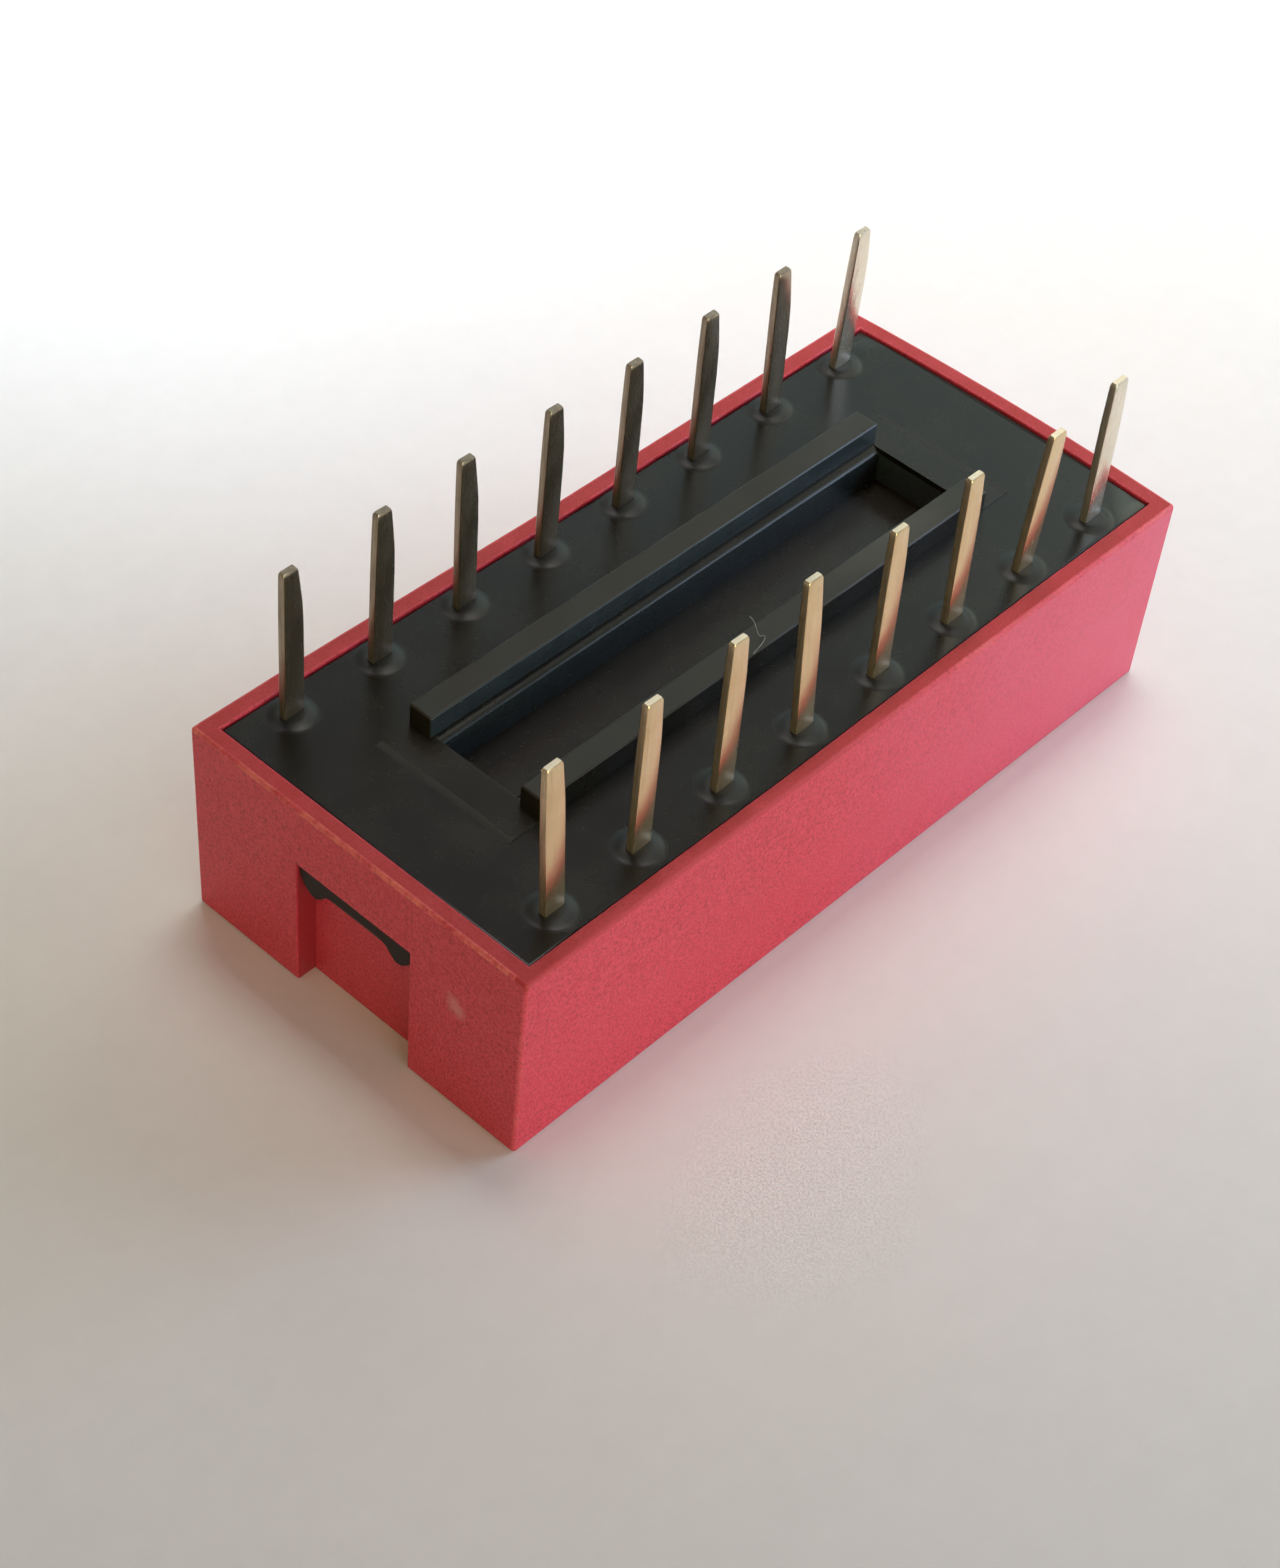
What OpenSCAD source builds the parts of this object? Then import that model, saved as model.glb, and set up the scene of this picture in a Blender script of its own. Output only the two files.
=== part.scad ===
// DIP switch with eight slide positions, modelled lying on its actuator face
// with the sixteen pins pointing up. Millimetres. X along the row of switches,
// Y across it, Z up through the pins. Z = 0 is the actuator face.

/* [Cover] */
// Outside length of the red cover at its actuator face
cover_l = 21.42; // [21.0:0.01:22.5]
// Outside width of the red cover at its actuator face
cover_w = 9.72; // [9.6:0.01:10.2]
// How far each short wall leans out by the rim (mould draft)
draft_end = 0.03; // [0:0.01:0.06]
// How far each long wall leans out by the rim (mould draft)
draft_side = 0.07; // [0:0.01:0.12]
// Height of the cover from actuator face to rim
cover_h = 5.36; // [5.2:0.01:6.0]
// Rim thickness on the two short walls
rim_end = 0.44; // [0.40:0.01:0.47]
// Rim thickness on the two long walls
rim_side = 0.46; // [0.4:0.01:0.5]
// Thickness of the slotted actuator face
face_t = 0.90; // [0.7:0.05:1.0]
// Height of the inner ledge that the base is seated on
ledge_z = 2.60; // [2.55:0.01:2.65]
// Width of the channel in each short wall
channel_w = 3.42; // [3.0:0.01:3.8]
// Depth of the channel in each short wall
channel_d = 0.53; // [0.50:0.01:0.6]
// Top of the latch window above the actuator face
window_z = 3.70; // [3.6:0.01:4.0]

/* [Base] */
// Height of the base's main outer surface
base_z = 5.30; // [5.0:0.01:5.3]
// Side clearance between base and rim
base_gap = 0.03; // [0.02:0.005:0.06]
// Half length of the centre plateau
plateau_hl = 8.17; // [7.8:0.01:8.6]
// Height of the centre plateau
plateau_z = 5.33; // [5.32:0.01:5.4]
// Half length of the two stand-off ridges
ridge_hl = 7.28; // [7.0:0.01:7.6]
// Outer edge of a ridge from the centre line
ridge_out = 1.97; // [1.8:0.01:2.3]
// Inner edge of a ridge from the centre line
ridge_in = 1.30; // [1.2:0.01:1.5]
// Height of the ridge tops
ridge_z = 5.88; // [5.6:0.01:6.2]
// Half length of the centre recess
recess_hl = 7.16; // [6.8:0.01:7.4]
// Half width of the centre recess
recess_hw = 1.06; // [0.8:0.01:1.15]
// Height of the recess floor
recess_z = 4.40; // [4.0:0.01:5.0]
// How far the ledge beside the recess slopes down
ledge_drop = 0.08; // [0:0.01:0.15]
// Radius of a pin mound at its foot
mound_r1 = 0.58; // [0.45:0.01:0.6]
// Radius of a pin mound at its top
mound_r2 = 0.33; // [0.31:0.01:0.42]
// Height of a pin mound
mound_h = 0.12; // [0.1:0.01:0.4]
// Width of a latch tooth
tooth_w = 3.38; // [2.6:0.01:3.38]

/* [Terminals] */
// Distance between neighbouring pins
pitch = 2.54; // [2.54:0.01:2.54]
// Distance between the two rows of pins
row_gap = 7.62; // [7.62:0.01:7.62]
// Width of a pin, along the row
pin_w = 0.55; // [0.4:0.01:0.58]
// Thickness of a pin, across the row
pin_t = 0.20; // [0.18:0.01:0.28]
// Height of the pin tips
pin_z = 9.47; // [8.8:0.01:9.8]
// Width of a contact arm inside the base
arm_w = 1.10; // [0.8:0.01:1.3]
// Thickness of a contact arm
arm_t = 0.20; // [0.18:0.01:0.3]
// Distance from the centre line to the front arms
front_pad = 1.30; // [1.1:0.01:1.6]
// Distance from the centre line to the back arms
back_pad = 0.30; // [0.2:0.01:0.5]

/* [Sliders] */
// Sliding travel from OFF to ON
travel = 1.50; // [1.3:0.01:1.6]
// Width of a slot in the actuator face
slot_w = 1.30; // [1.2:0.01:1.4]
// Free play at each end of a knob's travel
end_gap = 0.15; // [0.1:0.01:0.2]
// Width of a knob
knob_w = 1.08; // [1.0:0.01:1.1]
// Length of a knob
knob_l = 1.50; // [1.3:0.01:1.6]
// How far a knob stays below the actuator face
knob_sink = 0.14; // [0.1:0.01:0.3]
// Width of a slider plate
plate_w = 1.50; // [1.45:0.01:1.55]
// Length of a slider plate
plate_l = 5.00; // [4.8:0.01:5.6]
// Thickness of a slider plate
plate_t = 0.78; // [0.6:0.01:0.8]
// Width of a sliding contact
clip_w = 0.90; // [0.7:0.01:1.0]
// Thickness of a sliding contact strip
clip_t = 0.12; // [0.08:0.01:0.15]
// Distance from a contact's centre to each of its two bumps
bump_y = 1.40; // [1.3:0.01:1.5]

/* [Hidden] */
$fn = 48;
n = 8;
eps = 0.01;
slot_l = knob_l + travel + 2 * end_gap;
rest_y = travel / 2;
plate_z = face_t + 0.10;
clip_z = plate_z + plate_t;
inner_z = ledge_z + 0.05;
bump_z = inner_z - 0.03;
chamber_w = 1.72;
chamber_l = 7.90;
pin_y = row_gap / 2;
exit_z = base_z + mound_h;
seat_hl = cover_l / 2 + draft_end - rim_end;
seat_hw = cover_w / 2 + draft_side - rim_side;
base_hl = seat_hl - base_gap;
base_hw = seat_hw - base_gap;
tooth_x = cover_l / 2 - 0.07;
// sideways bend of each pin at its tip, [along X, along Y]
front_bend = [[-0.14, 0.11], [0.02, 0], [0.04, 0.03], [0, 0.23],
              [-0.02, 0.02], [-0.04, 0.02], [-0.11, -0.29], [-0.14, -0.08]];
back_bend = [[-0.05, -0.05], [0.07, 0.01], [-0.01, 0.05], [0.03, -0.03],
             [-0.05, -0.09], [-0.07, -0.05], [-0.16, -0.05], [-0.14, -0.26]];

function px(i) = (i - (n - 1) / 2) * pitch;

// a box from its two opposite corners
module box(a, b) {
  translate(a) cube([b[0] - a[0], b[1] - a[1], b[2] - a[2]]);
}

// what the mould draft takes off one wall, half = its distance at the face
module draft_cut(half, draft) {
  k = draft / cover_h;
  translate([-cover_l, 0, 0])
    rotate([90, 0, 90]) linear_extrude(2 * cover_l)
      polygon([[half - k, -1], [half + 2, -1], [half + 2, cover_h + 1],
               [half + k * (cover_h + 1), cover_h + 1]]);
}

// cap with four walls, slotted face, slider chambers and end channels
module cover() {
  color([0.74, 0.13, 0.20])
  difference() {
    box([-cover_l / 2 - draft_end, -cover_w / 2 - draft_side, 0],
        [cover_l / 2 + draft_end, cover_w / 2 + draft_side, cover_h]);
    for (a = [0, 180]) {
      rotate(a) draft_cut(cover_w / 2, draft_side);
      rotate(a + 90) draft_cut(cover_l / 2, draft_end);
    }
    // seat of the base
    box([-seat_hl, -seat_hw, ledge_z], [seat_hl, seat_hw, cover_h + 1]);
    for (i = [0 : n - 1]) {
      // chamber the slider plate moves in
      box([px(i) - chamber_w / 2, -chamber_l / 2, face_t],
          [px(i) + chamber_w / 2, chamber_l / 2, ledge_z + 0.5]);
      // slot the knob shows in
      box([px(i) - slot_w / 2, -slot_l / 2, -1],
          [px(i) + slot_w / 2, slot_l / 2, face_t + 0.5]);
    }
    // channel and latch window in each short wall
    for (s = [-1, 1])
      translate([s * cover_l / 2, 0, 0])
        box([-channel_d, -channel_w / 2, -1], [channel_d, channel_w / 2, window_z]);
  }
}

// outline of a latch tooth: a bar with a deeper lobe at each end
module tooth_2d() {
  h = tooth_w / 2;
  polygon([[-h, 3.68], [-h, 3.32], [-1.54, 3.08], [-1.38, 2.94], [-1.20, 2.90],
           [-1.04, 3.02], [-0.90, 3.16], [-0.60, 3.20], [0.60, 3.20], [0.90, 3.16],
           [1.04, 3.02], [1.20, 2.90], [1.38, 2.94], [1.54, 3.08], [h, 3.32], [h, 3.68]]);
}

// section of the centre recess
module recess_2d() {
  e = ridge_in - 0.02;
  polygon([[-recess_hw, recess_z], [recess_hw, recess_z], [recess_hw, plateau_z - ledge_drop],
           [e, plateau_z], [e, ridge_z + 1], [-e, ridge_z + 1], [-e, plateau_z],
           [-recess_hw, plateau_z - ledge_drop]]);
}

// room for one terminal inside the base, s = -1 front row, 1 back row
module terminal_room(i, s) {
  c = 0.012;
  y0 = s < 0 ? front_pad : back_pad;
  translate([px(i), 0, 0]) {
    box([-arm_w / 2 - c, s < 0 ? -pin_y - pin_t / 2 - c : y0 - c, inner_z - 1],
        [arm_w / 2 + c, s < 0 ? -y0 + c : pin_y + pin_t / 2 + c, inner_z + arm_t + c]);
    box([-pin_w / 2 - c, s * pin_y - pin_t / 2 - c, inner_z],
        [pin_w / 2 + c, s * pin_y + pin_t / 2 + c, exit_z + 1]);
  }
}

// black insulator with ridges, recess, pin mounds and latch teeth
module base() {
  color([0.10, 0.10, 0.10])
  difference() {
    union() {
      box([-base_hl, -base_hw, inner_z], [base_hl, base_hw, base_z]);
      box([-plateau_hl, -ridge_out, base_z - 0.5], [plateau_hl, ridge_out, plateau_z]);
      for (s = [-1, 1])
        box([-ridge_hl, s > 0 ? ridge_in : -ridge_out, base_z - 0.5],
            [ridge_hl, s > 0 ? ridge_out : -ridge_in, ridge_z]);
      for (i = [0 : n - 1], s = [-1, 1])
        translate([px(i), s * pin_y, base_z - eps])
          cylinder(r1 = mound_r1, r2 = mound_r2, h = mound_h + eps);
      for (s = [-1, 1])
        translate([s > 0 ? base_hl - 0.2 : -tooth_x, 0, 0])
          rotate([90, 0, 90]) linear_extrude(tooth_x - base_hl + 0.2) tooth_2d();
    }
    // recess, with a sloping ledge along each long side
    translate([-recess_hl, 0, 0])
      rotate([90, 0, 90]) linear_extrude(2 * recess_hl) recess_2d();
    for (i = [0 : n - 1], s = [-1, 1]) terminal_room(i, s);
  }
}

// one stamping: contact arm, bend and pin; s = -1 front row, 1 back row
module terminal(i, s, bend) {
  y0 = s < 0 ? front_pad : back_pad;
  h = pin_z - exit_z;
  color([0.80, 0.74, 0.62])
  translate([px(i), 0, 0]) {
    difference() {
      union() {
        box([-arm_w / 2, s < 0 ? -pin_y - pin_t / 2 : y0, inner_z],
            [arm_w / 2, s < 0 ? -y0 : pin_y + pin_t / 2, inner_z + arm_t]);
        box([-pin_w / 2, s * pin_y - pin_t / 2, inner_z],
            [pin_w / 2, s * pin_y + pin_t / 2, exit_z]);
        translate([0, s * pin_y, exit_z])
          rotate([-atan(bend[1] / h), atan(bend[0] / h), 0])
            box([-pin_w / 2, -pin_t / 2, -0.02], [pin_w / 2, pin_t / 2, h]);
      }
      // outer side of the bend
      difference() {
        box([-arm_w, s > 0 ? pin_y + pin_t / 2 - 0.17 : -pin_y - pin_t / 2 - 1, inner_z - 1],
            [arm_w, s > 0 ? pin_y + pin_t / 2 + 1 : -pin_y - pin_t / 2 + 0.17, inner_z + 0.17]);
        translate([0, s * (pin_y + pin_t / 2 - 0.17), inner_z + 0.17])
          rotate([0, 90, 0]) cylinder(r = 0.17, h = 4 * arm_w, center = true);
      }
    }
  }
}

// white slider: plate, knob and the rivet that holds its contact
module slider(i) {
  color([0.93, 0.92, 0.89])
  translate([px(i), rest_y, 0]) {
    box([-plate_w / 2, -plate_l / 2, plate_z], [plate_w / 2, plate_l / 2, clip_z]);
    box([-knob_w / 2, -knob_l / 2, knob_sink], [knob_w / 2, knob_l / 2, plate_z + eps]);
    translate([0, 0, clip_z - eps]) cylinder(r = 0.17, h = clip_t + 0.10);
    translate([0, 0, clip_z + clip_t + 0.01]) cylinder(r = 0.30, h = 0.09);
  }
}

// spring strip seen from its edge, centred on its rivet
module contact_2d() {
  b = bump_y;
  z1 = clip_z;
  z2 = bump_z - clip_t;
  function half(k) = [[0.45 * k, z1], [(b - 0.22) * k, z2 - 0.06], [b * k, z2],
                      [(b + 0.20) * k, z2 - 0.06], [(b + 0.42) * k, z2 - 0.30]];
  low = concat([for (j = [4 : -1 : 0]) half(-1)[j]], half(1));
  polygon(concat(low, [for (j = [len(low) - 1 : -1 : 0]) [low[j][0], low[j][1] + clip_t]]));
}

// sliding contact that bridges the two arms when it is ON
module contact(i) {
  color([0.85, 0.66, 0.30])
  translate([px(i), rest_y, 0])
  difference() {
    translate([-clip_w / 2, 0, 0]) rotate([90, 0, 90]) linear_extrude(clip_w) contact_2d();
    translate([0, 0, clip_z - 1]) cylinder(r = 0.19, h = 3);
  }
}

cover();
base();
slider(0);  // slider_1
slider(1);  // slider_2
slider(2);  // slider_3
slider(3);  // slider_4
slider(4);  // slider_5
slider(5);  // slider_6
slider(6);  // slider_7
slider(7);  // slider_8
contact(0);  // contact_1
contact(1);  // contact_2
contact(2);  // contact_3
contact(3);  // contact_4
contact(4);  // contact_5
contact(5);  // contact_6
contact(6);  // contact_7
contact(7);  // contact_8
terminal(0, -1, front_bend[0]);  // terminal_front_1
terminal(1, -1, front_bend[1]);  // terminal_front_2
terminal(2, -1, front_bend[2]);  // terminal_front_3
terminal(3, -1, front_bend[3]);  // terminal_front_4
terminal(4, -1, front_bend[4]);  // terminal_front_5
terminal(5, -1, front_bend[5]);  // terminal_front_6
terminal(6, -1, front_bend[6]);  // terminal_front_7
terminal(7, -1, front_bend[7]);  // terminal_front_8
terminal(0, 1, back_bend[0]);  // terminal_back_1
terminal(1, 1, back_bend[1]);  // terminal_back_2
terminal(2, 1, back_bend[2]);  // terminal_back_3
terminal(3, 1, back_bend[3]);  // terminal_back_4
terminal(4, 1, back_bend[4]);  // terminal_back_5
terminal(5, 1, back_bend[5]);  // terminal_back_6
terminal(6, 1, back_bend[6]);  // terminal_back_7
terminal(7, 1, back_bend[7]);  // terminal_back_8
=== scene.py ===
import bpy, bmesh, math
from mathutils import Vector, Matrix, noise

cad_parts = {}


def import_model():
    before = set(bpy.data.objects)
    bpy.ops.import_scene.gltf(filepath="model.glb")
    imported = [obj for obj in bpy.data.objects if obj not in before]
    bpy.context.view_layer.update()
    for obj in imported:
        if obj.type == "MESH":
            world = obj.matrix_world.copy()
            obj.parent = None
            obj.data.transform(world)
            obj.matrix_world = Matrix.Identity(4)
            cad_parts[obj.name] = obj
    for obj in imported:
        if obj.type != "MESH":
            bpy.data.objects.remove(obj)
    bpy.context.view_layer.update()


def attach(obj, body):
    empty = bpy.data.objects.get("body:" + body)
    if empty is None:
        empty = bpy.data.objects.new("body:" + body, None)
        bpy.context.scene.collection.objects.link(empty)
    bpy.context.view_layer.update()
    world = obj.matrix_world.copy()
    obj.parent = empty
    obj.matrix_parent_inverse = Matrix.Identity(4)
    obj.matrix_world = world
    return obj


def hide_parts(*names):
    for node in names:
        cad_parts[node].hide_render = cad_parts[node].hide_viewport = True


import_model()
ROOT = "housing"
N = 8
PITCH = 2.54
PINY = 3.81


def px(i):
    return (i - (N - 1) / 2) * PITCH


# ---------------------------------------------------------------- materials
def nodes_of(name):
    m = bpy.data.materials.new(name)
    m.use_nodes = True
    t = m.node_tree
    b = next(n for n in t.nodes if n.type == "BSDF_PRINCIPLED")
    return m, t, b


def mapped(t, scale=(1, 1, 1), rot=(0, 0, 0)):
    """Object coordinates in millimetres."""
    co = t.nodes.new("ShaderNodeTexCoord")
    mp = t.nodes.new("ShaderNodeMapping")
    mp.inputs["Scale"].default_value = [1000 * s for s in scale]
    mp.inputs["Rotation"].default_value = rot
    t.links.new(co.outputs["Object"], mp.inputs["Vector"])
    return mp.outputs["Vector"]


def noise_tex(t, vec, scale, detail=3.0, rough=0.55):
    n = t.nodes.new("ShaderNodeTexNoise")
    n.inputs["Scale"].default_value = scale
    n.inputs["Detail"].default_value = detail
    n.inputs["Roughness"].default_value = rough
    t.links.new(vec, n.inputs["Vector"])
    return n.outputs["Fac"]


def ramp(t, fac, stops):
    r = t.nodes.new("ShaderNodeValToRGB")
    e = r.color_ramp.elements
    while len(e) < len(stops):
        e.new(0.5)
    for k, (p, c) in zip(e, stops):
        k.position = p
        k.color = (c, c, c, 1) if isinstance(c, (int, float)) else (*c, 1)
    t.links.new(fac, r.inputs["Fac"])
    return r.outputs["Color"]


def mix(t, fac, a, b, mode="MIX"):
    m = t.nodes.new("ShaderNodeMix")
    m.data_type = "RGBA"
    m.blend_type = mode
    for sock, v in ((m.inputs["Factor"], fac), (m.inputs["A"], a), (m.inputs["B"], b)):
        if hasattr(v, "is_linked") or hasattr(v, "node"):
            t.links.new(v, sock)
        elif isinstance(v, (int, float)):
            sock.default_value = v
        else:
            sock.default_value = (*v, 1)
    return m.outputs["Result"]


def math_(t, op, a, b=None, c=None, clamp=False):
    m = t.nodes.new("ShaderNodeMath")
    m.operation = op
    m.use_clamp = clamp
    for k, v in enumerate((a, b, c)):
        if v is None:
            continue
        if isinstance(v, (int, float)):
            m.inputs[k].default_value = v
        else:
            t.links.new(v, m.inputs[k])
    return m.outputs["Value"]


def bump(t, bsdf, heights):
    """heights: list of (height socket, distance in mm, strength)."""
    last = None
    for h, d, s in heights:
        b = t.nodes.new("ShaderNodeBump")
        b.inputs["Distance"].default_value = d * 0.001
        b.inputs["Strength"].default_value = s
        t.links.new(h, b.inputs["Height"])
        if last is not None:
            t.links.new(last, b.inputs["Normal"])
        last = b.outputs["Normal"]
    t.links.new(last, bsdf.inputs["Normal"])


def coords(t):
    """Object position in millimetres as three sockets."""
    co = t.nodes.new("ShaderNodeTexCoord")
    sep = t.nodes.new("ShaderNodeSeparateXYZ")
    t.links.new(co.outputs["Object"], sep.inputs[0])
    return [math_(t, "MULTIPLY", sep.outputs[k], 1000.0) for k in "XYZ"]


BASE_Z, BASE_HL, BASE_HW, INNER = 5.30, 10.27, 4.44, 2.65


def red_plastic(name, edge=0):
    """Matt moulded thermoplastic with an eroded-mould grain. edge: 0 walls, with painted shade in the end channels and
    a painted sheen on one long wall; 1 rounded edge; 2 rubbed edge, partly a painted highlight, with painted shade
    along one long edge; 3 rim face, painted darker as shade.
    """
    m, t, b = nodes_of(name)
    v = mapped(t)
    grit = noise_tex(t, v, 17.0, 2, 0.6)
    fine = noise_tex(t, v, 9.0, 4, 0.7)
    mid = noise_tex(t, v, 2.2, 3, 0.6)
    wide = noise_tex(t, v, 0.35, 2, 0.5)
    c = ramp(t, fine, [(0.30, RED_DARK), (0.70, RED_LIGHT)])
    c = mix(t, ramp(t, mid, [(0.35, 0.0), (0.75, 0.40)]), c, RED_PALE)
    c = mix(t, ramp(t, wide, [(0.4, 0.0), (0.7, 0.22)]), c, RED_DARK)
    c = mix(t, ramp(t, grit, [(0.54, 0.0), (0.66, 0.75)]), c, RED_PALE)
    c = mix(t, ramp(t, grit, [(0.34, 0.80), (0.46, 0.0)]), c, tuple(0.60 * x for x in RED_DARK))
    if edge == 2:
        # rubbed pale where the edge has been handled, in broken stretches; strongest on the short wall, where the pale
        # colour is also a painted highlight on the rounded edge
        rub = noise_tex(t, v, 0.9, 4, 0.65)
        tick = noise_tex(t, v, 7.0, 3, 0.7)
        w = math_(t, "MULTIPLY", ramp(t, rub, [(0.40, 0.25), (0.58, 1.0)]), ramp(t, tick, [(0.36, 0.30), (0.58, 0.95)]))
        x, y, z = coords(t)
        short = math_(t, "MULTIPLY", math_(t, "LESS_THAN", x, -10.55), math_(t, "GREATER_THAN", z, 5.2))
        w = math_(t, "MULTIPLY", w, math_(t, "ADD", math_(t, "MULTIPLY", short, 0.62), 0.30))
        # one long edge is painted darker instead, up to its middle: painted shade that takes the highlight off its
        # rounding
        edge_shade = math_(t, "MULTIPLY", math_(t, "LESS_THAN", y, -4.6), math_(t, "GREATER_THAN", z, 5.2))
        edge_shade = math_(t, "MULTIPLY", edge_shade, math_(t, "MULTIPLY", math_(t, "SUBTRACT", 3.0, x), 0.2, clamp=True))
        w = math_(t, "MULTIPLY", w, math_(t, "SUBTRACT", 1.0, edge_shade))
        c = mix(t, w, c, RED_RUB_GLINT)
        c = mix(t, math_(t, "MULTIPLY", edge_shade, 0.75), c, (0.44, 0.026, 0.026))
    if edge == 3:
        # the parting face is duller, and painted darker: painted shade, as this upward face takes less light than the
        # walls
        c = mix(t, ramp(t, mid, [(0.30, 0.80), (0.70, 0.50)]), c, (0.42, 0.018, 0.012))
    if edge == 0:
        # a pale rubbed mark on the near short wall, long axis leaning with the rub
        x, y, z = coords(t)
        dy = math_(t, "ADD", y, 3.02)
        dz = math_(t, "SUBTRACT", z, 3.16)
        u = math_(t, "ADD", math_(t, "MULTIPLY", dy, 0.62), math_(t, "MULTIPLY", dz, 0.78))
        w = math_(t, "SUBTRACT", math_(t, "MULTIPLY", dz, 0.62), math_(t, "MULTIPLY", dy, 0.78))
        d = math_(t, "SQRT", math_(t, "ADD",
                                   math_(t, "POWER", math_(t, "DIVIDE", u, 0.46), 2.0),
                                   math_(t, "POWER", math_(t, "DIVIDE", w, 0.30), 2.0)))
        d = math_(t, "ADD", d, math_(t, "MULTIPLY", math_(t, "SUBTRACT", noise_tex(t, v, 5.0, 3, 0.6), 0.5), 1.3))
        near = math_(t, "LESS_THAN", x, -10.5)
        mark = math_(t, "MULTIPLY", math_(t, "SUBTRACT", 1.0, d, clamp=True), near)
        mark = math_(t, "MULTIPLY", mark, 0.70)
        c = mix(t, mark, c, (0.66, 0.27, 0.27))
        # the cheeks of the end channels are painted a deeper red: painted shade inside the channels
        channel_shade = math_(t, "MULTIPLY", math_(t, "GREATER_THAN", math_(t, "ABSOLUTE", x), 10.16),
                      math_(t, "LESS_THAN", math_(t, "ABSOLUTE", y), 1.72))
        channel_shade = math_(t, "MULTIPLY", channel_shade, math_(t, "GREATER_THAN", math_(t, "ABSOLUTE", y), 1.695))
        channel_shade = math_(t, "MULTIPLY", channel_shade, math_(t, "LESS_THAN", math_(t, "ABSOLUTE", x), 10.67))
        channel_shade = math_(t, "MULTIPLY", channel_shade, math_(t, "LESS_THAN", z, 3.71))
        c = mix(t, channel_shade, c, (0.36, 0.018, 0.026))
        # one long wall is painted paler and pinker towards its far end: painted sheen and haze
        pale = math_(t, "MULTIPLY", math_(t, "MULTIPLY", math_(t, "ADD", x, 2.0), 0.085, clamp=True), math_(t, "LESS_THAN", y, -4.6))
        c = mix(t, math_(t, "MULTIPLY", pale, ramp(t, wide, [(0.25, 0.45), (0.75, 0.75)])), c, (0.74, 0.140, 0.230))
    t.links.new(c, b.inputs["Base Color"])
    hi, lo = ((0.56, 0.46), (0.46, 0.38), (0.52, 0.44), (0.62, 0.52))[edge]
    r = ramp(t, fine, [(0.25, hi), (0.75, lo)])
    t.links.new(r, b.inputs["Roughness"])
    b.inputs["IOR"].default_value = 1.50
    g1 = noise_tex(t, v, 14.0, 3, 0.75)
    g2 = noise_tex(t, v, 3.5, 2, 0.5)
    bump(t, b, [(g2, 0.010, 0.25), (g1, 0.008, 0.55 if edge == 0 else 0.3)])
    return m


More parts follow.
